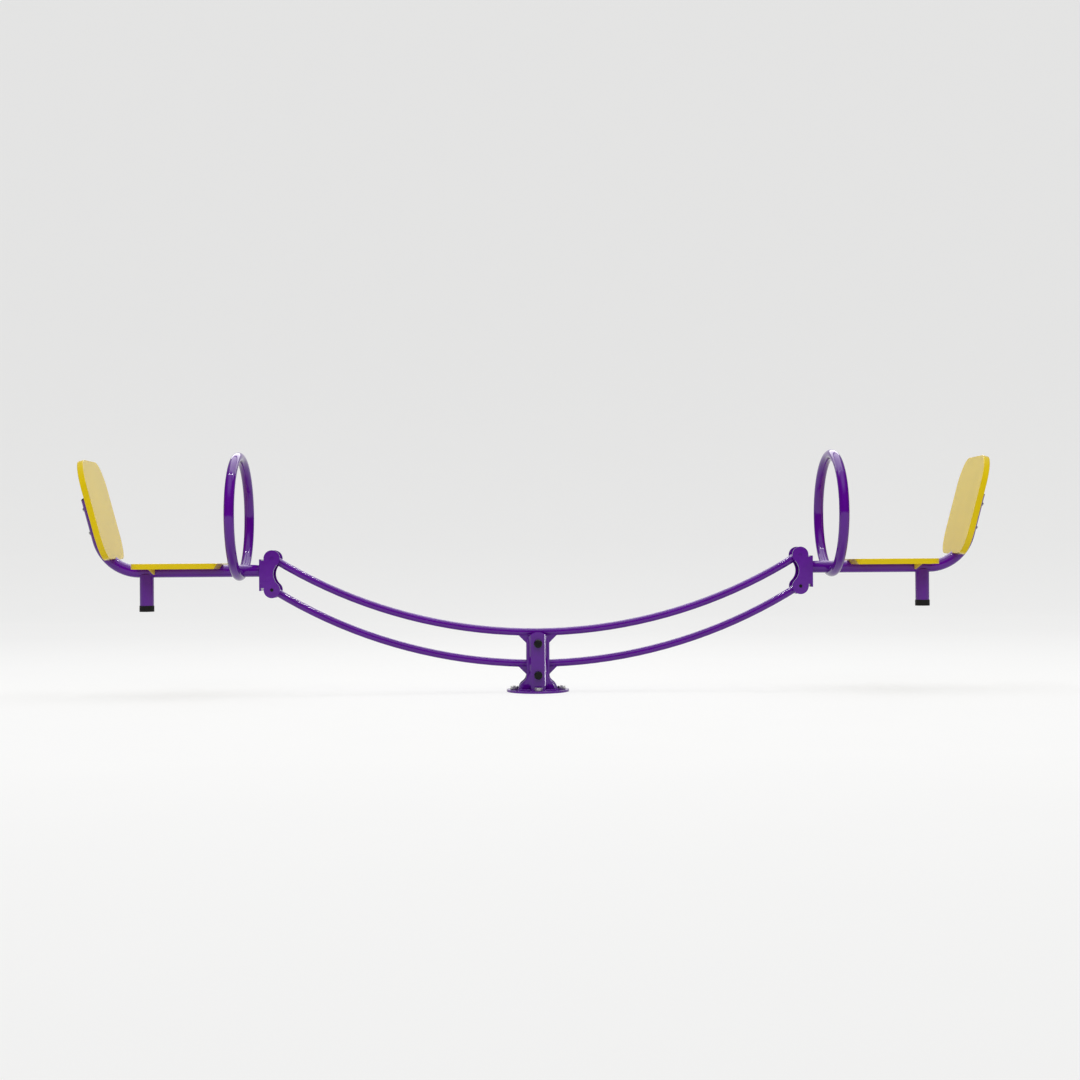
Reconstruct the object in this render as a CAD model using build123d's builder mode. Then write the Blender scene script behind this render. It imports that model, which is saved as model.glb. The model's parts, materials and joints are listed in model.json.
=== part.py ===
from build123d import *
import os
from math import asin, atan, cos, degrees, radians, sin, sqrt, tan

# Parallelogram seesaw. Millimetres, +Z up, +X along the seesaw, the front towards -Y.
# The origin is on the ground, in the middle of the centre post's base flange.
# Every seat piece is drawn for the +X side and mirrored to the -X side.

# ---- linkage: where the pins are
pivot_spacing = 110.0  # upper pins above lower pins, at the post and at both ends
lower_pivot_z = 60.0  # lower centre pin above the ground
end_pivot_x = 925.0  # end pins from the post's middle
beam_arc_radius = 1746.0  # centreline of both curved beams
beam_above_pin = 38.0  # a beam's centreline above its own centre pin

# ---- fits
running_gap = 0.05  # radial, a pin or sleeve turning in a bush
side_gap = 0.3  # axial, a bush flange beside a cheek
bolt_gap = 0.2  # radial, a bolt through a plain hole
board_gap = 0.3  # between a board and the tube it is let over
hexagon_chamfer = 30.0  # degrees, on the corners of heads and nuts

# ---- beams
beam_od = 26.9
beam_wall = 2.6
ear_radius = 28.3  # ear plate around the hub
ear_thickness = 5.0
ear_spacing = 9.0  # between a pair of ear plates
hub_od = 34.0
hub_bore = 26.0
hub_bush_length = 18.0
hub_flange = 2.5
eye_od = 30.0
eye_bore = 20.0
eye_bush_length = 15.0
eye_flange = 2.0
eye_flange_od = 26.0

# ---- centre post
flange_od = 220.0
flange_thickness = 8.0
flange_edge = 1.5
anchor_circle = 165.0
anchor_hole = 17.0
anchor_count = 4
anchor_bolt = 16.0  # thread of the foundation studs
anchor_washer_od = 30.0
anchor_washer_thickness = 3.0
anchor_nut_flats = 24.0
anchor_nut_height = 8.0
cheek_space = 64.0  # between the two cheeks
cheek_thickness = 8.0
cheek_half_width = 40.0
cheek_foot_half = 68.0
flare_height = 54.0  # the cheek's curved foot
post_depth_half = 58.0  # middle plane to the stiffener's web
stiffener_sheet = 5.0
web_half = 26.0
web_fold = 6.0  # outer radius of the folds beside the web
fold_slack = 0.01  # the folds' rounding stops this far short of the wings
wing_half = 33.0  # where the wings meet the cheek
wing_foot_half = 61.0
wing_foot_sheet = 12.0  # the sheet measured flat along the wings' flat foot

# ---- centre pins
sleeve_od = 20.0
pin_bolt = 12.0
pin_flats = 18.0
pin_head_height = 7.5
pin_nut_height = 10.8
pin_washer_od = 24.0
pin_washer_thickness = 2.5
thread_past_nut = 2.0
bolt_end_chamfer = 1.0
cap_od = 28.5
cap_wall = 2.0
cap_crown = 5.0  # edge radius of the cap's dome

# ---- end brackets
bracket_depth = 70.0  # over the two cheeks
bracket_sheet = 6.0
lobe_radius = 28.5
waist = 5.0  # the narrowest place, this far inboard of the pins
bracket_reach = 44.0  # end pins to the end plate's outer face
bracket_inset = 7.0  # the straight edges, inside the pins' heights
end_plate_height = 110.0
end_plate_drop = 3.0
end_pin = 12.0
pin_recess = 2.0
plug_crown = 0.6

# ---- seat frame
seat_tube_od = 42.4
seat_tube_wall = 2.6
tube_below_pin = 43.0  # seat tube's axis below the upper end pin
tube_straight = 418.0  # end plate to the start of the bend
bend_radius = 150.0
recline = 15.0  # degrees from vertical
upright_length = 147.0
plug_insert = 18.0
plug_dome = 10.0
plug_crown_height = 6.0
ring_offset = 73.0  # end plate to the handle ring
ring_tube_od = 35.0
ring_tube_wall = 2.5
ring_outer = 450.0
ring_above_tube = 190.0  # ring's centre above the seat tube's axis
foot_offset = 396.0  # end plate to the foot
foot_od = 48.3
foot_wall = 2.9
foot_above_ground = 290.0
foot_arch = 11.5  # the foot's crown above the seat tube's underside
foot_arch_radius = 40.0
foot_cap_wall = 1.2
foot_cap_sole = 6.0
foot_cap_height = 21.0

# ---- seat board and backrest
seat_start = 129.0  # end plate to the board
seat_length = 295.0
board_width = 275.0
board_thickness = 19.0
board_edge = 1.5
seat_corner = 28.0
seat_cover = 6.0  # board left above the seat tube
seat_bevel = 10.0  # the inboard end slopes in by this much
rib_inboard = 30.0  # rib's place, inboard of the foot
rib_thickness = 6.0
rib_depth = 19.0
rib_reach = 102.0
seat_screw = 6.0
seat_screw_head = 12.0
seat_screw_sink = 90.0  # degrees, the cone under the flat head
seat_screw_length = 16.0
seat_screw_first = 50.0  # from the board's inboard end
seat_screw_pitch = 190.0
back_height = 355.0
back_thickness = 21.0
back_below_bend = 80.0  # the board reaches this far below the end of the bend
back_spacer = 1.5
back_top_corner = (69.0, 105.0)  # across and along the board
back_foot_corner = (52.0, 88.0)
back_bolt = 8.0
back_bolt_head = 14.0
back_bolt_crown = 3.5
back_bolt_slope = 30.0  # degrees, the head's sloping side
back_bolt_bite = 12.0  # depth of the thread in the board
back_spacer_od = 18.0
back_bolt_low = 30.0  # above the end of the bend, along the upright
back_bolt_high = 116.0

# ---- worked out from the sizes above
upper_pivot_z = lower_pivot_z + pivot_spacing
end_half_angle = degrees(asin(end_pivot_x / beam_arc_radius))
beam_sag = beam_arc_radius * (1 - cos(radians(end_half_angle)))
end_rise = beam_above_pin + beam_sag
upper_end_z = upper_pivot_z + end_rise
lower_end_z = lower_pivot_z + end_rise
flare_top_z = flange_thickness + flare_height
cheek_outer = cheek_space / 2 + cheek_thickness
hub_half = cheek_space / 2 - side_gap - hub_flange
bracket_inner = bracket_depth / 2 - bracket_sheet
eye_half = bracket_inner - side_gap - eye_flange
plate_x = end_pivot_x + bracket_reach
tube_z = upper_end_z - tube_below_pin
bend_x = plate_x + tube_straight
ring_x = plate_x + ring_offset
foot_x = plate_x + foot_offset
seat_x = plate_x + seat_start
seat_top_z = tube_z + seat_tube_od / 2 + seat_cover
seat_under_z = seat_top_z - board_thickness
bend_end = (
    bend_x + bend_radius * cos(radians(recline)),
    tube_z + bend_radius * (1 - sin(radians(recline))),
)
upright = Vector(sin(radians(recline)), 0, cos(radians(recline)))
facing = Vector(-cos(radians(recline)), 0, sin(radians(recline)))
upright_foot = Vector(bend_end[0], 0, bend_end[1])
upright_top = upright_foot + upright * upright_length
back_offset = seat_tube_od / 2 + back_spacer

os.makedirs("parts", exist_ok=True)


def save(part, name):
    part.label = name
    export_step(part, f"parts/{name}.step")


def save_sides(part, name):
    """The +X piece and its mirror image."""
    save(part, f"right_{name}")
    save(mirror(part, about=Plane.YZ), f"left_{name}")


def at_depth(y):
    """The XZ plane moved to Y = y, facing the front."""
    return Plane.XZ.offset(-y)


def cross_bar(x, z, y_from, y_to, outer_radius, inner_radius=0):
    """A round bar or tube across the seesaw, between two depths."""
    with BuildPart() as bar:
        with BuildSketch(at_depth(y_to)):
            with Locations((x, z)):
                Circle(outer_radius)
                if inner_radius:
                    Circle(inner_radius, mode=Mode.SUBTRACT)
        extrude(amount=y_to - y_from)
    return bar.part


def swept(path, outer_radius, inner_radius=0):
    """A round tube, or a bar, along a line."""
    with BuildPart() as tube:
        with BuildSketch(Plane(path @ 0, z_dir=path % 0)):
            Circle(outer_radius)
            if inner_radius:
                Circle(inner_radius, mode=Mode.SUBTRACT)
        sweep(path=path)
    return tube.part


def hexagon(plane, flats, height, bore=0):
    """A hexagon head or nut standing on a plane, its outer corners turned to a cone."""
    corner = flats / sqrt(3)
    reach = 2 * corner
    drop = (reach - flats / 2) * tan(radians(hexagon_chamfer))
    with BuildPart() as head:
        with BuildSketch(plane):
            RegularPolygon(radius=flats / 2, side_count=6, major_radius=False)
        extrude(amount=height)
        with BuildSketch(plane):
            Circle(corner)
        extrude(amount=height, mode=Mode.INTERSECT)
        with BuildSketch(Plane(plane.origin, x_dir=plane.x_dir, z_dir=plane.y_dir * -1)):
            with BuildLine():
                Polyline((flats / 2, height), (reach, height - drop), (reach, height), close=True)
            make_face()
        revolve(axis=Axis(plane.origin, plane.z_dir), mode=Mode.SUBTRACT)
        if bore:
            with BuildSketch(plane):
                Circle(bore / 2)
            extrude(amount=height, mode=Mode.SUBTRACT)
    return head.part


# ==== base flange, washers and nuts
with BuildPart() as base_flange:
    Cylinder(flange_od / 2, flange_thickness, align=(Align.CENTER, Align.CENTER, Align.MIN))
    fillet(base_flange.edges().group_by(Axis.Z)[-1], flange_edge)
    with BuildSketch(Plane.XY):
        with PolarLocations(anchor_circle / 2, anchor_count):
            Circle(anchor_hole / 2)
    extrude(amount=flange_thickness, mode=Mode.SUBTRACT)
save(base_flange.part, "base_flange")

with BuildPart() as anchor_washers:
    with BuildSketch(Plane.XY.offset(flange_thickness)):
        with PolarLocations(anchor_circle / 2, anchor_count):
            Circle(anchor_washer_od / 2)
            Circle(anchor_hole / 2, mode=Mode.SUBTRACT)
    extrude(amount=anchor_washer_thickness)
save(anchor_washers.part, "anchor_washers")

anchor_nut = hexagon(
    Plane.XY.offset(flange_thickness + anchor_washer_thickness),
    anchor_nut_flats,
    anchor_nut_height,
    anchor_bolt,
)
with BuildPart() as anchor_nuts:
    with PolarLocations(anchor_circle / 2, anchor_count, rotate=False):
        add(anchor_nut)
save(anchor_nuts.part, "anchor_nuts")


# ==== post cheeks and folded stiffeners
def foot_flare(side, half_width, foot_half):
    """Two equal tangent arcs from the post's straight side out to its foot."""
    across = (foot_half - half_width) / 2
    down = flare_height / 2
    radius = (across**2 + down**2) / (2 * across)
    turn = atan(across / down)
    outward = radius * (1 - cos(turn))
    along = radius * sin(turn)
    middle = (side * (half_width + across), flange_thickness + down)
    top = (side * half_width, flare_top_z)
    foot = (side * foot_half, flange_thickness)
    ThreePointArc(foot, (foot[0] - side * outward, foot[1] + along), middle)
    ThreePointArc(middle, (top[0] + side * outward, top[1] - along), top)


def straight_flare(side, half_width):
    """The same stretch of outline where it has no flare."""
    points = [flange_thickness, flange_thickness + flare_height / 2, flare_top_z]
    for low, high in zip(points, points[1:]):
        Line((side * half_width, low), (side * half_width, high))


def post_face(y, half_width, foot_half=None, top_radius=cheek_half_width):
    """The post's outline: a round top, straight sides and, with a foot width, a flared foot."""
    shoulder_z = upper_pivot_z + sqrt(top_radius**2 - half_width**2)
    base_half = foot_half or half_width
    with BuildSketch(at_depth(y)) as outline:
        with BuildLine():
            Line((-base_half, flange_thickness), (base_half, flange_thickness))
            for side in (1, -1):
                if foot_half:
                    foot_flare(side, half_width, foot_half)
                else:
                    straight_flare(side, half_width)
                Line((side * half_width, flare_top_z), (side * half_width, shoulder_z))
            ThreePointArc(
                (half_width, shoulder_z),
                (0, upper_pivot_z + top_radius),
                (-half_width, shoulder_z),
            )
        make_face()
    return outline.sketch


def stiffener_form(sheet, foot_sheet):
    """The solid under the pressed skin, this far inside it; nothing inside gives the skin's outside."""
    top_radius = cheek_half_width - sheet
    fold_y = -(post_depth_half - web_fold)
    with BuildPart() as form:
        wings = post_face(-cheek_outer, wing_half - sheet, wing_foot_half - foot_sheet, top_radius)
        fold_line = post_face(fold_y, web_half - sheet, top_radius=top_radius)
        loft([wings, fold_line], ruled=True)
        extrude(fold_line, amount=web_fold - sheet)
        if not sheet:
            fillet(form.edges().group_by(Axis.Y)[0].filter_by(Axis.Z), web_fold - fold_slack)
    return form.part


with BuildPart() as centre_pin_holes:
    with BuildSketch(Plane.XZ):
        with Locations((0, upper_pivot_z), (0, lower_pivot_z)):
            Circle(pin_bolt / 2 + bolt_gap)
    extrude(amount=post_depth_half, both=True)

with BuildPart() as front_cheek:
    extrude(post_face(-cheek_space / 2, cheek_half_width, cheek_foot_half), amount=cheek_thickness)
    add(centre_pin_holes.part, mode=Mode.SUBTRACT)
save(front_cheek.part, "front_cheek")
save(mirror(front_cheek.part, about=Plane.XZ), "rear_cheek")

with BuildPart() as front_stiffener:
    add(stiffener_form(0, 0))
    add(stiffener_form(stiffener_sheet, wing_foot_sheet), mode=Mode.SUBTRACT)
    add(centre_pin_holes.part, mode=Mode.SUBTRACT)
save(front_stiffener.part, "front_stiffener")
save(mirror(front_stiffener.part, about=Plane.XZ), "rear_stiffener")


# ==== centre pins: bolt, nut, washers, clamped sleeve and caps
washer_face = post_depth_half + pin_washer_thickness
bolt_end = washer_face + pin_nut_height + thread_past_nut


for level, pin_z in (("upper", upper_pivot_z), ("lower", lower_pivot_z)):
    front_seat = Plane((0, -washer_face, pin_z), x_dir=(0, 0, 1), z_dir=(0, -1, 0))
    rear_seat = Plane((0, washer_face, pin_z), x_dir=(0, 0, 1), z_dir=(0, 1, 0))
    with BuildPart() as centre_bolt:
        add(hexagon(front_seat, pin_flats, pin_head_height))
        add(cross_bar(0, pin_z, -washer_face, bolt_end, pin_bolt / 2))
        chamfer(centre_bolt.edges().sort_by(Axis.Y)[-1], bolt_end_chamfer)
    save(centre_bolt.part, f"{level}_centre_bolt")

    with BuildPart() as centre_nut:
        add(hexagon(rear_seat, pin_flats, pin_nut_height, pin_bolt))
    save(centre_nut.part, f"{level}_centre_nut")

    with BuildPart() as centre_sleeve:
        add(cross_bar(0, pin_z, -cheek_space / 2, cheek_space / 2, sleeve_od / 2, pin_bolt / 2 + bolt_gap))
    save(centre_sleeve.part, f"{level}_centre_sleeve")

with BuildPart() as pin_washers:
    for pin_z in (upper_pivot_z, lower_pivot_z):
        for y_from in (-washer_face, post_depth_half):
            y_to = y_from + pin_washer_thickness
            add(cross_bar(0, pin_z, y_from, y_to, pin_washer_od / 2, pin_bolt / 2 + bolt_gap))
save(pin_washers.part, "centre_pin_washers")

cap_face = bolt_end + bolt_gap + cap_wall


def domed_bars(face, radius, crown):
    """A bar on each centre pin, from the stiffener's web to a rounded front face."""
    with BuildPart() as bars:
        for pin_z in (upper_pivot_z, lower_pivot_z):
            add(cross_bar(0, pin_z, -face, -post_depth_half, radius))
        fillet(bars.edges().group_by(Axis.Y)[0], crown)
    return bars.part


with BuildPart() as pin_caps:
    add(domed_bars(cap_face, cap_od / 2, cap_crown))
    add(domed_bars(cap_face - cap_wall, cap_od / 2 - cap_wall, cap_crown - cap_wall), mode=Mode.SUBTRACT)
    mirror(about=Plane.XZ)
save(pin_caps.part, "centre_pin_caps")


# ==== the two curved beams
def flanged_bush(plane, outer_radius, bore_radius, length, flange_radius, flange):
    """A bush pressed in behind the plane, its flange standing on the plane."""
    with BuildPart() as bush:
        with BuildSketch(plane):
            Circle(flange_radius)
        extrude(amount=flange)
        with BuildSketch(plane):
            Circle(outer_radius)
        extrude(amount=-length)
        with BuildSketch(plane.offset(flange)):
            Circle(bore_radius)
        extrude(amount=-(length + flange), mode=Mode.SUBTRACT)
    return bush.part


for level, pin_z, end_z in (
    ("upper", upper_pivot_z, upper_end_z),
    ("lower", lower_pivot_z, lower_end_z),
):
    arc_centre_z = pin_z + beam_above_pin + beam_arc_radius
    with BuildLine(Plane.XZ) as beam_line:
        beam_arc = CenterArc((0, arc_centre_z), beam_arc_radius, 270 - end_half_angle, 2 * end_half_angle)
    beam_bar = swept(beam_arc, beam_od / 2)

    with BuildPart() as beam_tube:
        add(swept(beam_arc, beam_od / 2, beam_od / 2 - beam_wall))
        for end_x in (-end_pivot_x, end_pivot_x):
            add(cross_bar(end_x, end_z, -eye_half, eye_half, eye_od / 2), mode=Mode.SUBTRACT)
    save(beam_tube.part, f"{level}_beam_tube")

    slope_point = ear_radius / sqrt(2)
    with BuildPart() as ear_plates:
        for inner_y in (-ear_spacing / 2, ear_spacing / 2 + ear_thickness):
            with BuildSketch(at_depth(inner_y)):
                with BuildLine():
                    ThreePointArc(
                        (-slope_point, pin_z - slope_point),
                        (0, pin_z - ear_radius),
                        (slope_point, pin_z - slope_point),
                    )
                    Polyline(
                        (slope_point, pin_z - slope_point),
                        (2 * slope_point + beam_above_pin, pin_z + beam_above_pin),
                        (-2 * slope_point - beam_above_pin, pin_z + beam_above_pin),
                        (-slope_point, pin_z - slope_point),
                    )
                make_face()
                with Locations((0, pin_z)):
                    Circle(hub_od / 2, mode=Mode.SUBTRACT)
            extrude(amount=ear_thickness)
        add(beam_bar, mode=Mode.SUBTRACT)
    save(ear_plates.part, f"{level}_ear_plates")

    with BuildPart() as hub:
        add(cross_bar(0, pin_z, -hub_half, hub_half, hub_od / 2, hub_bore / 2))
    save(hub.part, f"{level}_hub")

    with BuildPart() as hub_bushes:
        for facing_y in (-1, 1):
            hub_end = Plane((0, facing_y * hub_half, pin_z), x_dir=(1, 0, 0), z_dir=(0, facing_y, 0))
            bore = sleeve_od / 2 + running_gap
            add(flanged_bush(hub_end, hub_bore / 2, bore, hub_bush_length, hub_od / 2, hub_flange))
    save(hub_bushes.part, f"{level}_hub_bushes")

    with BuildPart() as end_eyes:
        for end_x in (-end_pivot_x, end_pivot_x):
            add(cross_bar(end_x, end_z, -eye_half, eye_half, eye_od / 2))
            add(cross_bar(end_x, end_z, -eye_half, eye_half, eye_bore / 2), mode=Mode.SUBTRACT)
    save(end_eyes.part, f"{level}_end_eyes")

    with BuildPart() as eye_bushes:
        for end_x in (-end_pivot_x, end_pivot_x):
            for facing_y in (-1, 1):
                eye_end = Plane((end_x, facing_y * eye_half, end_z), x_dir=(1, 0, 0), z_dir=(0, facing_y, 0))
                bore = end_pin / 2 + running_gap
                add(flanged_bush(eye_end, eye_bore / 2, bore, eye_bush_length, eye_flange_od / 2, eye_flange))
    save(eye_bushes.part, f"{level}_eye_bushes")


# ==== end brackets and their pins
pin_heights = (upper_end_z, lower_end_z)
middle_z = (upper_end_z + lower_end_z) / 2
half_spacing = pivot_spacing / 2
waist_radius = (half_spacing**2 + waist**2 - lobe_radius**2) / (2 * (lobe_radius - waist))
waist_centre_x = end_pivot_x - waist - waist_radius
touch = lobe_radius / (lobe_radius + waist_radius)
touch_x = end_pivot_x - touch * (waist + waist_radius)
touch_z = touch * half_spacing

with BuildPart() as bracket_front:
    with BuildSketch(at_depth(-bracket_inner)):
        for pin_z in pin_heights:
            with Locations((end_pivot_x, pin_z)):
                Circle(lobe_radius)
        with BuildLine():
            Polyline(
                (end_pivot_x, middle_z - half_spacing),
                (touch_x, lower_end_z + touch_z),
                (touch_x, upper_end_z - touch_z),
                (end_pivot_x, middle_z + half_spacing),
                close=True,
            )
        make_face()
        with Locations(((end_pivot_x + plate_x - bracket_sheet) / 2, middle_z)):
            Rectangle(bracket_reach - bracket_sheet, pivot_spacing - 2 * bracket_inset)
        with Locations((waist_centre_x, middle_z)):
            Circle(waist_radius, mode=Mode.SUBTRACT)
        for pin_z in pin_heights:
            with Locations((end_pivot_x, pin_z)):
                Circle(end_pin / 2, mode=Mode.SUBTRACT)
    extrude(amount=bracket_sheet)
save_sides(bracket_front.part, "bracket_front_cheek")
save_sides(mirror(bracket_front.part, about=Plane.XZ), "bracket_rear_cheek")

with BuildPart() as bracket_plate:
    with BuildSketch(Plane.YZ.offset(plate_x - bracket_sheet)):
        with Locations((0, middle_z - end_plate_drop)):
            Rectangle(bracket_depth, end_plate_height)
    extrude(amount=bracket_sheet)
save_sides(bracket_plate.part, "bracket_end_plate")

pin_end = bracket_depth / 2 - pin_recess
for level, pin_z in (("upper", upper_end_z), ("lower", lower_end_z)):
    with BuildPart() as pin:
        add(cross_bar(end_pivot_x, pin_z, -pin_end, pin_end, end_pin / 2))
    save_sides(pin.part, f"{level}_end_pin")

with BuildPart() as pin_plugs:
    for facing_y in (-1, 1):
        plug_seat = Plane(
            (end_pivot_x, facing_y * pin_end, lower_end_z),
            x_dir=(1, 0, 0),
            z_dir=(0, facing_y, 0),
        )
        with BuildSketch(plug_seat):
            Circle(end_pin / 2)
        extrude(amount=pin_recess + plug_crown)
    fillet(pin_plugs.edges().group_by(Axis.Y)[0] + pin_plugs.edges().group_by(Axis.Y)[-1], plug_crown)
save_sides(pin_plugs.part, "pin_plugs")


# ==== seat frame: bent tube, plug, handle ring, foot
with BuildLine(Plane.XZ) as seat_line:
    Line((plate_x, tube_z), (bend_x, tube_z))
    CenterArc((bend_x, tube_z + bend_radius), bend_radius, 270, 90 - recline)
    Line(upright_foot, upright_top)
seat_path = seat_line.wire()
tube_outer = seat_tube_od / 2
tube_inner = tube_outer - seat_tube_wall
tube_space = swept(seat_path, tube_outer + board_gap)
seat_bar = swept(seat_path, tube_outer)

screw_xs = [seat_x + seat_screw_first + step * seat_screw_pitch for step in range(2)]
back_bolt_lines = [upright_foot + upright * height for height in (back_bolt_low, back_bolt_high)]
screw_holes = []
for screw_x in screw_xs:
    with BuildPart() as hole:
        with BuildSketch(Plane.XY.offset(tube_z)):
            with Locations((screw_x, 0)):
                Circle(seat_screw / 2)
        extrude(amount=seat_top_z - tube_z)
    screw_holes.append(hole.part)
bolt_holes = []
for point in back_bolt_lines:
    with BuildPart() as hole:
        with BuildSketch(Plane(point - facing * tube_outer, z_dir=facing)):
            Circle(back_bolt / 2)
        extrude(amount=2 * tube_outer + back_spacer + back_bolt_bite)
    bolt_holes.append(hole.part)

with BuildPart() as seat_tube:
    add(swept(seat_path, tube_outer, tube_inner))
    for hole in screw_holes + bolt_holes:
        add(hole, mode=Mode.SUBTRACT)
save_sides(seat_tube.part, "seat_tube")

plug_frame = Plane(upright_top, x_dir=(0, 1, 0), z_dir=Vector(0, 1, 0).cross(upright))
plug_rim = plug_dome - plug_crown_height
crown_radius = (tube_outer**2 + plug_crown_height**2) / (2 * plug_crown_height)
crown_turn = asin(tube_outer / crown_radius) / 2
crown_middle = (crown_radius * sin(crown_turn), plug_dome - crown_radius * (1 - cos(crown_turn)))
with BuildPart() as tube_plug:
    with BuildSketch(plug_frame):
        with BuildLine():
            Polyline(
                (0, plug_dome),
                (0, -plug_insert),
                (tube_inner, -plug_insert),
                (tube_inner, 0),
                (tube_outer, 0),
                (tube_outer, plug_rim),
            )
            ThreePointArc((tube_outer, plug_rim), crown_middle, (0, plug_dome))
        make_face()
    revolve(axis=Axis(upright_top, upright))
save_sides(tube_plug.part, "tube_plug")

ring_radius = (ring_outer - ring_tube_od) / 2
with BuildPart() as handle_ring:
    with BuildSketch(Plane.XZ):
        with Locations((ring_x, tube_z + ring_above_tube + ring_radius)):
            Circle(ring_tube_od / 2)
            Circle(ring_tube_od / 2 - ring_tube_wall, mode=Mode.SUBTRACT)
    revolve(axis=Axis((0, 0, tube_z + ring_above_tube), (1, 0, 0)))
    add(seat_bar, mode=Mode.SUBTRACT)
save_sides(handle_ring.part, "handle_ring")

foot_sole_z = foot_above_ground + foot_cap_sole
foot_crown_z = tube_z - tube_outer + foot_arch
with BuildPart() as foot_post:
    with BuildSketch(Plane.XY.offset(foot_sole_z)):
        with Locations((foot_x, 0)):
            Circle(foot_od / 2)
            Circle(foot_od / 2 - foot_wall, mode=Mode.SUBTRACT)
    extrude(amount=foot_crown_z - foot_sole_z)
    with BuildSketch(Plane.XZ):
        with Locations((foot_x, foot_crown_z - foot_arch_radius)):
            Circle(foot_arch_radius)
        with Locations((foot_x, (foot_crown_z - foot_arch_radius + foot_sole_z) / 2)):
            Rectangle(2 * foot_arch_radius, foot_crown_z - foot_arch_radius - foot_sole_z)
    extrude(amount=foot_od, both=True, mode=Mode.INTERSECT)
    add(seat_bar, mode=Mode.SUBTRACT)
save_sides(foot_post.part, "foot_post")

with BuildPart() as foot_cap:
    with BuildSketch(Plane.XY.offset(foot_above_ground)):
        with Locations((foot_x, 0)):
            Circle(foot_od / 2 + foot_cap_wall)
    extrude(amount=foot_cap_height)
    fillet(foot_cap.edges().group_by(Axis.Z)[0], foot_cap_wall)
    with BuildSketch(Plane.XY.offset(foot_sole_z)):
        with Locations((foot_x, 0)):
            Circle(foot_od / 2)
    extrude(amount=foot_cap_height, mode=Mode.SUBTRACT)
save_sides(foot_cap.part, "foot_cap")


# ==== seat board, its screws, backrest, its bolts and spacers
with BuildPart() as seat_board:
    with BuildSketch(Plane.XY.offset(seat_under_z)):
        with Locations((seat_x + seat_length / 2, 0)):
            RectangleRounded(seat_length, board_width, seat_corner)
    extrude(amount=board_thickness)
    fillet(seat_board.edges().group_by(Axis.Z)[-1], board_edge)
    with BuildSketch(Plane.XZ):
        with BuildLine():
            Polyline(
                (seat_x, seat_top_z - board_edge),
                (seat_x + seat_bevel, seat_under_z),
                (seat_x, seat_under_z),
                close=True,
            )
        make_face()
    extrude(amount=board_width, both=True, mode=Mode.SUBTRACT)
    with BuildSketch(Plane.YZ.offset(foot_x - rib_inboard - rib_thickness / 2)):
        with BuildLine():
            Polyline(
                (-rib_reach, seat_under_z),
                (-tube_outer, seat_under_z - rib_depth),
                (tube_outer, seat_under_z - rib_depth),
                (rib_reach, seat_under_z),
                close=True,
            )
        make_face()
    extrude(amount=rib_thickness)
    add(tube_space, mode=Mode.SUBTRACT)
    with Locations(Plane.XY.offset(seat_top_z)):
        with Locations(*[(screw_x, 0) for screw_x in screw_xs]):
            CounterSinkHole(seat_screw / 2, seat_screw_head / 2, board_thickness, seat_screw_sink)
save_sides(seat_board.part, "seat_board")

with BuildPart() as seat_screws:
    for screw_x in screw_xs:
        with BuildSketch(Plane.XZ):
            with BuildLine():
                Polyline(
                    (screw_x, seat_top_z),
                    (screw_x + seat_screw_head / 2, seat_top_z),
                    (screw_x + seat_screw / 2, seat_top_z - (seat_screw_head - seat_screw) / 2),
                    (screw_x + seat_screw / 2, seat_top_z - seat_screw_length),
                    (screw_x, seat_top_z - seat_screw_length),
                    close=True,
                )
            make_face()
        revolve(axis=Axis((screw_x, 0, 0), (0, 0, 1)))
save_sides(seat_screws.part, "seat_screws")

back_frame = Plane(upright_foot + facing * back_offset, x_dir=(0, -1, 0), z_dir=facing)
with BuildPart() as backrest:
    with BuildSketch(back_frame):
        half = board_width / 2
        low = -back_below_bend
        high = low + back_height
        top_in, top_down = back_top_corner
        foot_in, foot_up = back_foot_corner
        with BuildLine():
            EllipticalCenterArc((half - top_in, high - top_down), top_in, top_down, 0)
            Line((half - top_in, high), (top_in - half, high))
            EllipticalCenterArc((top_in - half, high - top_down), top_in, top_down, 90)
            Line((-half, high - top_down), (-half, low + foot_up))
            EllipticalCenterArc((foot_in - half, low + foot_up), foot_in, foot_up, 180)
            Line((foot_in - half, low), (half - foot_in, low))
            EllipticalCenterArc((half - foot_in, low + foot_up), foot_in, foot_up, 270)
            Line((half, low + foot_up), (half, high - top_down))
        make_face()
    extrude(amount=back_thickness)
    flat_faces = backrest.faces().sort_by(Axis(upright_foot, facing))
    fillet(flat_faces[0].edges() + flat_faces[-1].edges(), board_edge)
    add(tube_space, mode=Mode.SUBTRACT)
    for hole in bolt_holes:
        add(hole, mode=Mode.SUBTRACT)
save_sides(backrest.part, "backrest")

with BuildPart() as back_bolts:
    for point in back_bolt_lines:
        head_seat = Plane(point - facing * tube_outer, x_dir=(0, 1, 0), z_dir=facing)
        with BuildSketch(head_seat):
            Circle(back_bolt / 2)
        extrude(amount=2 * tube_outer + back_spacer + back_bolt_bite)
        with BuildSketch(head_seat):
            Circle(back_bolt_head / 2)
        extrude(amount=-back_bolt_crown, taper=back_bolt_slope)
save_sides(back_bolts.part, "back_bolts")

with BuildPart() as back_spacers:
    for point in back_bolt_lines:
        with BuildSketch(Plane(point + facing * tube_outer, z_dir=facing)):
            Circle(back_spacer_od / 2)
            Circle(back_bolt / 2, mode=Mode.SUBTRACT)
        extrude(amount=back_spacer)
save_sides(back_spacers.part, "back_spacers")
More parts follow.
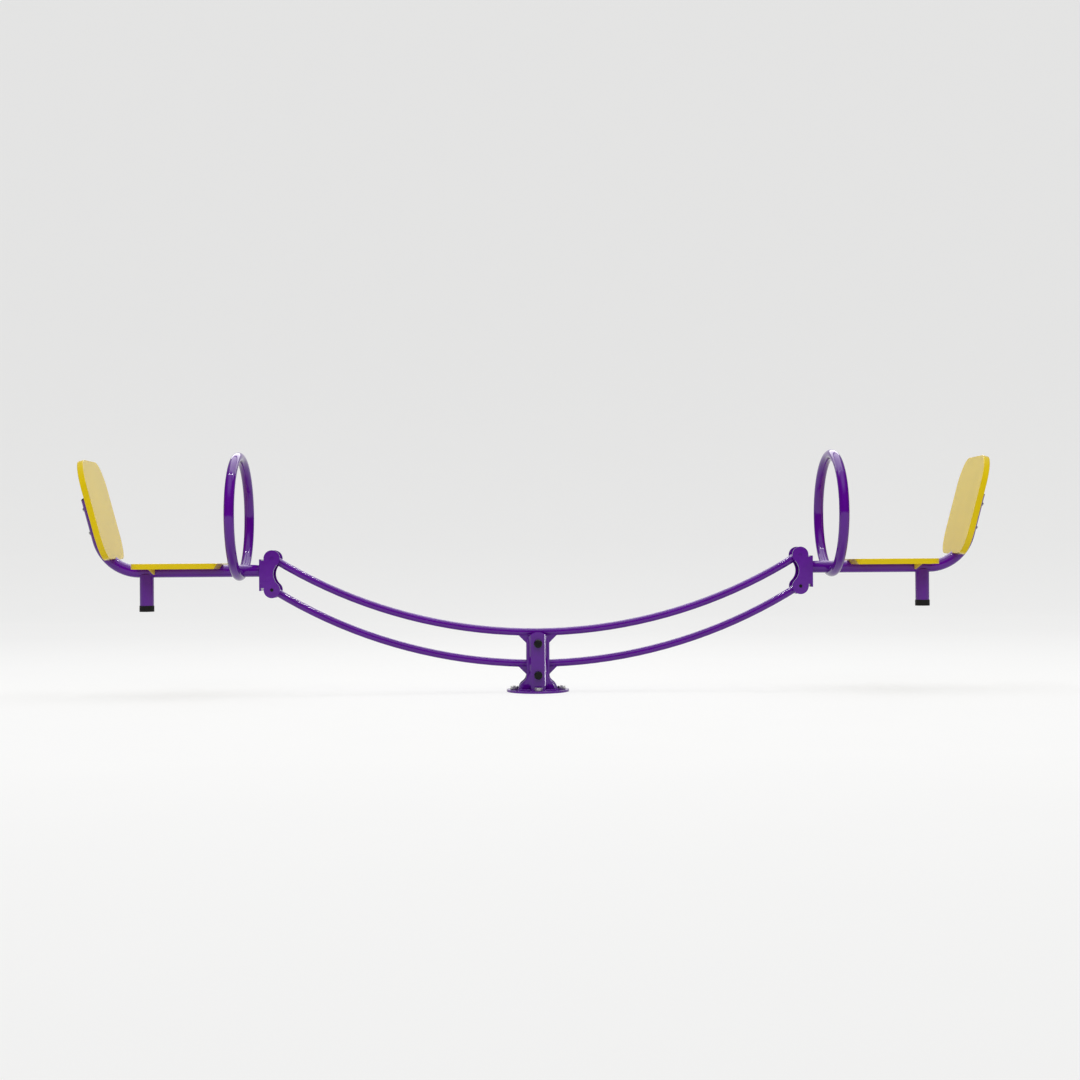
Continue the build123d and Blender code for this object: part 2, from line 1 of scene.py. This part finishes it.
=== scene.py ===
import bpy
import json
from math import acos, asin, cos, pi, radians, sin, sqrt
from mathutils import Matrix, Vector

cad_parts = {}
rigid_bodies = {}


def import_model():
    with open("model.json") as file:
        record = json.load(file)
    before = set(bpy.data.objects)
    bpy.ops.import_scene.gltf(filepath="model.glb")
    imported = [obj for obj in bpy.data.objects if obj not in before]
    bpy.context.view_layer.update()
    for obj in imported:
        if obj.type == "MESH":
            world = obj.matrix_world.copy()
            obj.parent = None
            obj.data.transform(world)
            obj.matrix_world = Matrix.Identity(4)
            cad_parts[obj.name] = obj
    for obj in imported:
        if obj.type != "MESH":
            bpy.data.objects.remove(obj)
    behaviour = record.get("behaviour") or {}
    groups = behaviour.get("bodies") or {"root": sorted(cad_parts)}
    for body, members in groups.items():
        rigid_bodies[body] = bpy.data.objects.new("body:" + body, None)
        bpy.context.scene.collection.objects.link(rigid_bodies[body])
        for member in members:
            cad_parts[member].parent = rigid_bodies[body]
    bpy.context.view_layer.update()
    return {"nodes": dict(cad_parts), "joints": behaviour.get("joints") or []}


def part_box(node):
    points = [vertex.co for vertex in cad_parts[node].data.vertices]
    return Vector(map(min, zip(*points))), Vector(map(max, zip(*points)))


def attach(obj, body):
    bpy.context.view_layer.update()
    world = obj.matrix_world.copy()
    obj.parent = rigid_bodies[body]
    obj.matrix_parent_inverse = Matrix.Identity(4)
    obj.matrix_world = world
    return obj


# Blender's own starting objects would count in the seesaw's size
for leftover in list(bpy.data.objects):
    bpy.data.objects.remove(leftover)
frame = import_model()
nodes = frame["nodes"]
pin_at = {joint["name"]: Vector(joint["pos_m"]) for joint in frame["joints"]}


# ---------------------------------------------------------------- node helpers
def material(name):
    """A new node material, its tree and its principled shader."""
    made = bpy.data.materials.new(name)
    made.use_nodes = True
    return made, made.node_tree, made.node_tree.nodes["Principled BSDF"]


def place_in(tree, kind):
    """The X, Y and Z of a texture coordinate."""
    where = tree.nodes.new("ShaderNodeTexCoord")
    made = tree.nodes.new("ShaderNodeSeparateXYZ")
    tree.links.new(where.outputs[kind], made.inputs["Vector"])
    return made.outputs


def noise(tree, scale, detail=2.0, roughness=0.5, distortion=0.0):
    """Noise over the object's own coordinates, in metres."""
    where = tree.nodes.new("ShaderNodeTexCoord")
    made = tree.nodes.new("ShaderNodeTexNoise")
    made.inputs["Scale"].default_value = scale
    made.inputs["Detail"].default_value = detail
    made.inputs["Roughness"].default_value = roughness
    made.inputs["Distortion"].default_value = distortion
    tree.links.new(where.outputs["Object"], made.inputs["Vector"])
    return made.outputs["Fac"]


def between(tree, value, low, high, from_low=0.3, from_high=0.7):
    """The value, moved from one range to another and held inside it."""
    made = tree.nodes.new("ShaderNodeMapRange")
    made.inputs["From Min"].default_value = from_low
    made.inputs["From Max"].default_value = from_high
    made.inputs["To Min"].default_value = low
    made.inputs["To Max"].default_value = high
    tree.links.new(value, made.inputs["Value"])
    return made.outputs["Result"]


def combined(tree, operation, *values):
    """One value worked out from one or two others."""
    made = tree.nodes.new("ShaderNodeMath")
    made.operation = operation
    for value, socket in zip(values, made.inputs):
        tree.links.new(value, socket)
    return made.outputs["Value"]


def mixed(tree, value, colour_a, colour_b):
    """A colour between two, by the value."""
    made = tree.nodes.new("ShaderNodeMix")
    made.data_type = "RGBA"
    made.inputs["A"].default_value = (*colour_a, 1)
    made.inputs["B"].default_value = (*colour_b, 1)
    tree.links.new(value, made.inputs["Factor"])
    return made.outputs["Result"]


def bumped(tree, value, strength, distance, after=None):
    """A bump from the value; another bump can come before it."""
    made = tree.nodes.new("ShaderNodeBump")
    made.inputs["Strength"].default_value = strength
    made.inputs["Distance"].default_value = distance
    tree.links.new(value, made.inputs["Height"])
    if after is not None:
        tree.links.new(after, made.inputs["Normal"])
    return made.outputs["Normal"]


def set_values(shader, **values):
    """Values that are the same all over, by the socket's name."""
    for name, value in values.items():
        shader.inputs[name.replace("_", " ")].default_value = value


# ---------------------------------------------------------------- materials
def powder_coat():
    """Glossy purple powder coat, with a faint orange peel and long waves."""
    made, tree, shader = material("purple_powder_coat")
    cloudy = noise(tree, scale=9, detail=3)
    colour = mixed(
        tree, between(tree, cloudy, 0, 1), (0.098, 0.0030, 0.255), (0.118, 0.0036, 0.305)
    )
    waves = bumped(tree, noise(tree, scale=70), strength=0.05, distance=0.001)
    peel = bumped(tree, noise(tree, scale=420), strength=0.05, distance=0.0002, after=waves)
    tree.links.new(colour, shader.inputs["Base Color"])
    tree.links.new(between(tree, cloudy, 0.30, 0.42), shader.inputs["Roughness"])
    tree.links.new(peel, shader.inputs["Normal"])
    tree.links.new(peel, shader.inputs["Coat Normal"])
    set_values(shader, Specular_IOR_Level=0.0, Coat_Weight=1.0, Coat_IOR=1.47, Coat_Roughness=0.05)
    return made


def board_plastic():
    """Yellow moulded board with a fine satin grain."""
    made, tree, shader = material("yellow_moulded_board")
    cloudy = between(tree, noise(tree, scale=7, detail=3), 0, 1)
    grain = noise(tree, scale=900, detail=3, roughness=0.6)
    grainy = bumped(tree, grain, strength=0.10, distance=0.0002)
    colour = mixed(tree, cloudy, (0.76, 0.555, 0.002), (0.82, 0.60, 0.003))
    tree.links.new(colour, shader.inputs["Base Color"])
    tree.links.new(between(tree, grain, 0.40, 0.52), shader.inputs["Roughness"])
    tree.links.new(grainy, shader.inputs["Normal"])
    tree.links.new(grainy, shader.inputs["Coat Normal"])
    set_values(shader, Specular_IOR_Level=0.1, Coat_Weight=1.0, Coat_IOR=1.28, Coat_Roughness=0.18)
    return made


def moulded_black(name, greys, roughness, grain_scale, grain_depth):
    """Black rubber or plastic with a moulded grain."""
    made, tree, shader = material(name)
    cloudy = noise(tree, scale=60)
    grain = noise(tree, scale=grain_scale, detail=3, roughness=0.6)
    dark, light = ((grey,) * 3 for grey in greys)
    colour = mixed(tree, between(tree, cloudy, 0, 1), dark, light)
    grainy = bumped(tree, grain, strength=0.3, distance=grain_depth)
    tree.links.new(colour, shader.inputs["Base Color"])
    tree.links.new(between(tree, cloudy, *roughness), shader.inputs["Roughness"])
    tree.links.new(grainy, shader.inputs["Normal"])
    set_values(shader, Specular_IOR_Level=0.25)
    return made


def metal(name, dark, light, roughness, patch_scale, scratch_scale):
    """Bare or plated steel in dull patches, with fine scratches."""
    made, tree, shader = material(name)
    patches = noise(tree, scale=patch_scale, detail=4, roughness=0.6, distortion=0.4)
    scratches = noise(tree, scale=scratch_scale, detail=3, roughness=0.7)
    colour = mixed(tree, between(tree, patches, 0, 1), dark, light)
    scratched = bumped(tree, scratches, strength=0.15, distance=0.0002)
    tree.links.new(colour, shader.inputs["Base Color"])
    tree.links.new(between(tree, patches, *roughness), shader.inputs["Roughness"])
    tree.links.new(scratched, shader.inputs["Normal"])
    set_values(shader, Metallic=1.0)
    return made


def bush_nylon():
    """Grey nylon of the bushes."""
    made, tree, shader = material("bush_nylon")
    cloudy = noise(tree, scale=120, detail=3)
    colour = mixed(
        tree, between(tree, cloudy, 0, 1), (0.055, 0.058, 0.062), (0.085, 0.088, 0.092)
    )
    tree.links.new(colour, shader.inputs["Base Color"])
    tree.links.new(between(tree, cloudy, 0.38, 0.52), shader.inputs["Roughness"])
    tree.links.new(bumped(tree, cloudy, strength=0.1, distance=0.0002), shader.inputs["Normal"])
    set_values(shader, Subsurface_Weight=0.05)
    return made


finishes = {
    "purple_paint": powder_coat(),
    "yellow_board": board_plastic(),
    "black_rubber": moulded_black(
        "foot_rubber", greys=(0.008, 0.014), roughness=(0.60, 0.75),
        grain_scale=700, grain_depth=0.0004,
    ),
    "black_plastic": moulded_black(
        "cap_plastic", greys=(0.005, 0.010), roughness=(0.34, 0.48),
        grain_scale=1100, grain_depth=0.0002,
    ),
    "zinc_steel": metal(
        "zinc_plated_steel", dark=(0.58, 0.58, 0.57), light=(0.74, 0.74, 0.72),
        roughness=(0.26, 0.42), patch_scale=160, scratch_scale=1500,
    ),
    "plain_steel": metal(
        "turned_steel", dark=(0.42, 0.42, 0.43), light=(0.56, 0.56, 0.57),
        roughness=(0.22, 0.36), patch_scale=220, scratch_scale=2400,
    ),
    "bush_polymer": bush_nylon(),
}
for cad_object in nodes.values():
    for place in cad_object.material_slots:
        place.material = finishes[place.material.name.split(".")[0]]

# ---------------------------------------------------------------- weld beads
bead_step = 0.0006
bead_sides = 8
ripple_pitch = 0.0025
ripple_height = 0.10  # of the bead's radius
wander_length = 0.031
wander_height = 0.05
taper_steps = 6
taper_start = 0.25


def bead(name, body, points, radius, closed=False):
    """A rippled weld bead along a line, painted with the part."""
    points = [Vector(point) for point in points]
    if closed:
        points.append(points[0])
    line = [points[0]]
    for start, end in zip(points, points[1:]):
        steps = max(1, round((end - start).length / bead_step))
        line += [start.lerp(end, step / steps) for step in range(1, steps + 1)]
    if closed:
        line.pop()
    count = len(line)
    vertices, faces = [], []
    travelled = 0.0
    across = None
    for index, point in enumerate(line):
        before = line[index - 1] if index or closed else point
        after = line[(index + 1) % count] if index < count - 1 or closed else point
        along = (after - before).normalized()
        if across is None:
            across = along.orthogonal().normalized()
        across = (across - along * across.dot(along)).normalized()
        upward = along.cross(across)
        travelled += (point - line[index - 1]).length if index else 0
        size = radius * (
            1
            + ripple_height * abs(sin(travelled * pi / ripple_pitch))
            + wander_height * sin(travelled * 2 * pi / wander_length)
        )
        if not closed:
            size *= min(1.0, taper_start + min(index, count - 1 - index) / taper_steps)
        for side in range(bead_sides):
            turn = 2 * pi * side / bead_sides
            vertices.append(point + across * (cos(turn) * size) + upward * (sin(turn) * size))
    for index in range(count if closed else count - 1):
        here = index * bead_sides
        following = (index + 1) % count * bead_sides
        for side in range(bead_sides):
            beside = (side + 1) % bead_sides
            faces.append((here + side, here + beside, following + beside, following + side))
    if not closed:
        faces.append(tuple(reversed(range(bead_sides))))
        faces.append(tuple((count - 1) * bead_sides + side for side in range(bead_sides)))
    mesh = bpy.data.meshes.new(name)
    mesh.from_pydata([tuple(vertex) for vertex in vertices], [], faces)
    mesh.polygons.foreach_set("use_smooth", [True] * len(mesh.polygons))
    mesh.materials.append(finishes["purple_paint"])
    piece = bpy.data.objects.new(name, mesh)
    bpy.context.scene.collection.objects.link(piece)
    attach(piece, body)


def swept(steps, start, end, at):
    """Points along a line, from the line's place at each step."""
    return [at(start + (end - start) * step / steps) for step in range(steps + 1)]


# sizes that the boxes of the nodes don't give
beam_radius = 0.0269 / 2
beam_arc_radius = 1.746
beam_above_pin = 0.038
seat_tube_radius = 0.0424 / 2
ring_bar_radius = 0.035 / 2
ring_above_tube = 0.190
foot_tube_radius = 0.0483 / 2
foot_arch_radius = 0.040
cover_fold = 0.006
cover_flat_half = 0.020

round_steps = 72
joint_steps = 60
foot_steps = 40
plate_weld = 0.0028
ring_weld = 0.0022
foot_weld = 0.0020
beam_weld = 0.0020
post_weld = 0.0028
sides = {"left": -1, "right": 1}
faces_of = {"front": -1, "rear": 1}

plate_weld_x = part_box("right_bracket_end_plate")[1].x + 0.0008  # just outside the plate
ring_low, ring_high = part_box("right_handle_ring")
ring_x = (ring_low.x + ring_high.x) / 2
ring_z = ring_high.z - ring_high.y
ring_radius = ring_high.y - ring_bar_radius
tube_z = ring_z - ring_above_tube


def ring_joint(turn, hand):
    """Where the ring's tube meets the seat tube, at a turn around the ring's own tube."""
    reach = ring_radius + ring_bar_radius * sin(turn)
    swing = (reach**2 + ring_above_tube**2 - seat_tube_radius**2) / (2 * ring_above_tube * reach)
    swing = acos(min(1, swing))
    return (
        ring_x + ring_bar_radius * cos(turn),
        hand * reach * sin(swing),
        ring_z - reach * cos(swing),
    )


def on_side(sign, points):
    """The points of the right side, moved to a side."""
    return [(sign * x, y, z) for x, y, z in points]


def plate_joint(turn):
    """A place around the seat tube, on the end plate."""
    return (plate_weld_x, seat_tube_radius * cos(turn), tube_z + seat_tube_radius * sin(turn))


# the ring's tube clears the seat tube above this turn
clear_turn = asin((seat_tube_radius - (ring_radius - ring_above_tube)) / ring_bar_radius)
ring_start, ring_end = pi - clear_turn, 2 * pi + clear_turn
plate_line = swept(round_steps, 0, 2 * pi, plate_joint)[:-1]
ring_line = swept(joint_steps, ring_start, ring_end, lambda turn: ring_joint(turn, 1))
ring_line += swept(joint_steps, ring_end, ring_start, lambda turn: ring_joint(turn, -1))[1:-1]
foot_low, foot_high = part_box("right_foot_post")
foot_x = (foot_low.x + foot_high.x) / 2
foot_reach = foot_tube_radius * 0.97  # the weld stops short of the foot's sides


def foot_joint(across, hand):
    """Where the foot's arched top meets the seat tube."""
    height = foot_high.z - foot_arch_radius + sqrt(foot_arch_radius**2 - across**2)
    depth = sqrt(seat_tube_radius**2 - (height - tube_z) ** 2)
    return (foot_x + across, hand * depth, height)


for side, sign in sides.items():
    seat = f"{side}_seat"
    bead(f"{side}_plate_weld", seat, on_side(sign, plate_line), plate_weld, closed=True)
    bead(f"{side}_ring_weld", seat, on_side(sign, ring_line), ring_weld, closed=True)
    for face, hand in faces_of.items():
        foot_line = swept(foot_steps, -foot_reach, foot_reach, lambda x: foot_joint(x, hand))
        bead(f"{side}_foot_{face}_weld", seat, on_side(sign, foot_line), foot_weld)

for level, joint in {"upper": "rock", "lower": "lower_rock"}.items():
    beam = f"{level}_beam"
    pin = pin_at[joint]
    hub_low, hub_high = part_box(f"{level}_hub")
    hub_radius = (hub_high.z - hub_low.z) / 2
    ear_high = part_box(f"{level}_ear_plates")[1]
    arc_centre = pin.z + beam_above_pin + beam_arc_radius
    drop = sqrt(beam_radius**2 - ear_high.y**2)
    ear_reach = ear_high.x - 0.0024  # the weld stops short of the ears' ends
    for face, hand in faces_of.items():
        y = hand * ear_high.y
        hub_line = swept(
            joint_steps, 0, 2 * pi,
            lambda turn: (hub_radius * cos(turn), y, pin.z + hub_radius * sin(turn)),
        )
        ear_line = swept(
            joint_steps, -ear_reach, ear_reach,
            lambda x: (x, y, arc_centre - sqrt(beam_arc_radius**2 - x**2) - drop),
        )
        bead(f"{level}_hub_{face}_weld", beam, hub_line[:-1], beam_weld, closed=True)
        bead(f"{level}_ear_{face}_weld", beam, ear_line, beam_weld)

# the post's foot on the flange: around the cheek and the pressed cover
cheek_low, cheek_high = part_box("front_cheek")
cover_low, cover_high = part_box("front_stiffener")
for face, hand in faces_of.items():
    half_line = [
        (cheek_high.x, hand * -cheek_high.y),
        (cheek_high.x, hand * -cheek_low.y),
        (cover_high.x, hand * -cheek_low.y),
        (cover_flat_half + cover_fold, hand * (-cover_low.y - cover_fold)),
        (cover_flat_half, hand * -cover_low.y),
    ]
    outline = half_line + [(-x, y) for x, y in reversed(half_line)]
    post_line = [(x, y, cheek_low.z) for x, y in outline]
    bead(f"post_{face}_foot_weld", "post", post_line, post_weld, closed=True)

# ---------------------------------------------------------------- floor and backdrop
stage_half = 9.0
wall_height = 9.0
sweep_start = 6.0
sweep_radius = 4.0
sweep_step = 2  # degrees
surround_radius = 14.0
surround_low, surround_high = -1.0, 14.0
surround_steps = 64
paper_glow = (1, 1, 0.995, 1)


def stage_piece(name, vertices, faces, paper, **seen):
    """A piece of the studio, and which kinds of ray see it."""
    mesh = bpy.data.meshes.new(name)
    mesh.from_pydata(vertices, [], faces)
    mesh.materials.append(paper)
    made = bpy.data.objects.new(name, mesh)
    bpy.context.scene.collection.objects.link(made)
    for ray, visible in seen.items():
        setattr(made, f"visible_{ray}", visible)
    return made


def sweep_paper():
    """Pale paper with a glow of its own: weaker behind, near the lens and up the wall."""
    made, tree, shader = material("studio_paper")
    colour = mixed(tree, noise(tree, scale=3), (0.26, 0.26, 0.258), (0.27, 0.27, 0.268))
    where = place_in(tree, "Object")
    behind = between(tree, where["Y"], 0.69, 0.645, from_low=0.3, from_high=4.0)
    before = between(tree, where["Y"], -0.055, 0.0, from_low=-3.9, from_high=-1.8)
    upward = between(tree, where["Z"], 0.0, -0.015, from_low=0.1, from_high=0.6)
    along = combined(tree, "ADD", behind, before)
    tree.links.new(combined(tree, "ADD", along, upward), shader.inputs["Emission Strength"])
    tree.links.new(colour, shader.inputs["Base Color"])
    set_values(shader, Roughness=0.9, Specular_IOR_Level=0.1, Emission_Color=paper_glow)
    return made


profile = [(-stage_half, 0.0), (sweep_start, 0.0)]
for degrees in range(sweep_step, 90 + 1, sweep_step):
    turn = radians(degrees)
    profile.append((sweep_start + sweep_radius * sin(turn), sweep_radius * (1 - cos(turn))))
profile.append((sweep_start + sweep_radius, wall_height))
sweep = stage_piece(
    "studio_sweep",
    [(x, y, z) for y, z in profile for x in (-stage_half, stage_half)],
    [(2 * i, 2 * i + 1, 2 * i + 3, 2 * i + 2) for i in range(len(profile) - 1)],
    sweep_paper(),
    diffuse=False, glossy=False,
)
sweep.data.polygons.foreach_set("use_smooth", [True] * len(sweep.data.polygons))

# pale paper all round, beyond the sweep, which only the camera sees
surround_paper, _, surround_shader = material("surround_paper")
set_values(
    surround_shader, Base_Color=(0, 0, 0, 1), Specular_IOR_Level=0.0,
    Emission_Color=paper_glow, Emission_Strength=0.84,
)
around = [2 * pi * step / surround_steps for step in range(surround_steps)]
stage_piece(
    "studio_surround",
    [
        (surround_radius * cos(turn), surround_radius * sin(turn), z)
        for z in (surround_low, surround_high) for turn in around
    ],
    [
        (step, (step + 1) % surround_steps,
         surround_steps + (step + 1) % surround_steps, surround_steps + step)
        for step in range(surround_steps)
    ],
    surround_paper,
    diffuse=False, glossy=False, transmission=False, shadow=False,
)

# ---------------------------------------------------------------- what the paint reflects
# a bright backdrop and ceiling, a bright floor, dark side walls and a dark room in front
world = bpy.data.worlds.new("studio")
bpy.context.scene.world = world
world.use_nodes = True
sky = world.node_tree
background = sky.nodes["Background"]
background.inputs["Color"].default_value = (1, 1, 1, 1)
toward = place_in(sky, "Generated")
sideways = combined(sky, "ABSOLUTE", toward["X"])
side_walls = between(sky, sideways, 1.0, 0.04, from_low=0.25, from_high=0.80)
backdrop = between(sky, toward["Y"], 0.02, 0.9, from_low=-0.10, from_high=0.25)
ceiling = between(sky, toward["Z"], 0.0, 1.1, from_low=0.50, from_high=0.80)
floor = between(sky, toward["Z"], 0.40, 0.84, from_low=-0.98, from_high=-0.75)
floor_edge = between(sky, toward["Z"], 1.0, 0.0, from_low=-0.03, from_high=0.02)
floor = combined(sky, "MULTIPLY", floor, floor_edge)
walls = combined(sky, "MULTIPLY", combined(sky, "MAXIMUM", backdrop, ceiling), side_walls)
sky.links.new(combined(sky, "MAXIMUM", walls, floor), background.inputs["Strength"])

# ---------------------------------------------------------------- lights
stage_lit = bpy.data.collections.new("stage_lit")
stage_lit.objects.link(sweep)
stage_unlit = bpy.data.collections.new("stage_unlit")
stage_unlit.objects.link(sweep)
stage_unlit.collection_objects[0].light_linking.link_state = "EXCLUDE"
front_cover = bpy.data.collections.new("front_cover")
front_cover.objects.link(nodes["front_stiffener"])


def softbox(name, place, target, size, brightness, receivers, **seen):
    """A rectangular area light of an even brightness, and what it lights."""
    width, height = size
    lamp = bpy.data.lights.new(name, "AREA")
    lamp.shape = "RECTANGLE"
    lamp.size = width
    lamp.size_y = height
    lamp.energy = brightness * pi * width * height
    holder = bpy.data.objects.new(name, lamp)
    bpy.context.scene.collection.objects.link(holder)
    holder.location = place
    holder.rotation_euler = (Vector(target) - Vector(place)).to_track_quat("-Z", "Y").to_euler()
    holder.light_linking.receiver_collection = receivers
    holder.visible_camera = False
    for ray, visible in seen.items():
        setattr(holder, f"visible_{ray}", visible)


def distant_lamp(name, toward_lamp, strength, spread):
    """A distant lamp, small enough to throw a clear faint shadow."""
    lamp = bpy.data.lights.new(name, "SUN")
    lamp.energy = strength
    lamp.angle = spread
    holder = bpy.data.objects.new(name, lamp)
    bpy.context.scene.collection.objects.link(holder)
    holder.rotation_euler = Vector(toward_lamp).to_track_quat("Z", "Y").to_euler()


softbox("stage_overhead", (0, 0.9, 4.2), (0, 0.1, 0.4), (5.0, 1.6), 2.4, stage_lit)
softbox("stage_front", (0, -5.5, 4.6), (0, 0, 0.4), (5.0, 1.6), 2.0, stage_lit)
softbox(
    "overhead_softbox", (0, 1.2, 4.2), (0, 0.6, 0.4), (6.0, 3.2), 2.2, stage_unlit, diffuse=False
)
softbox("rim_softbox", (0, 3.4, 3.0), (0, 0, 0.3), (6.0, 1.4), 3.0, stage_unlit)
softbox("front_key", (0, -3.4, 2.9), (0, 0, 0.4), (6.0, 2.0), 2.2, stage_unlit, glossy=False)
softbox(
    "fold_light", (1.15, -0.15, 0.10), (0, 0, 0.09), (1.1, 0.35), 16.0, front_cover, diffuse=False
)
distant_lamp("left_key", (-0.37, -0.10, 0.92), strength=0.20, spread=radians(3))
distant_lamp("right_key", (0.37, -0.10, 0.92), strength=0.20, spread=radians(3))

# ---------------------------------------------------------------- camera
lens = bpy.data.cameras.new("camera")
lens.lens = 50
lens.sensor_width = 36
lens.clip_end = 100
camera = bpy.data.objects.new("camera", lens)
bpy.context.scene.collection.objects.link(camera)
camera.location = (-0.132, -5.28, 0.466)
camera.rotation_euler = (radians(90.71), 0, radians(-1.55))
camera.rotation_euler.rotate_axis("Z", radians(-0.41))
bpy.context.scene.camera = camera
bpy.context.scene.view_settings.view_transform = "Standard"
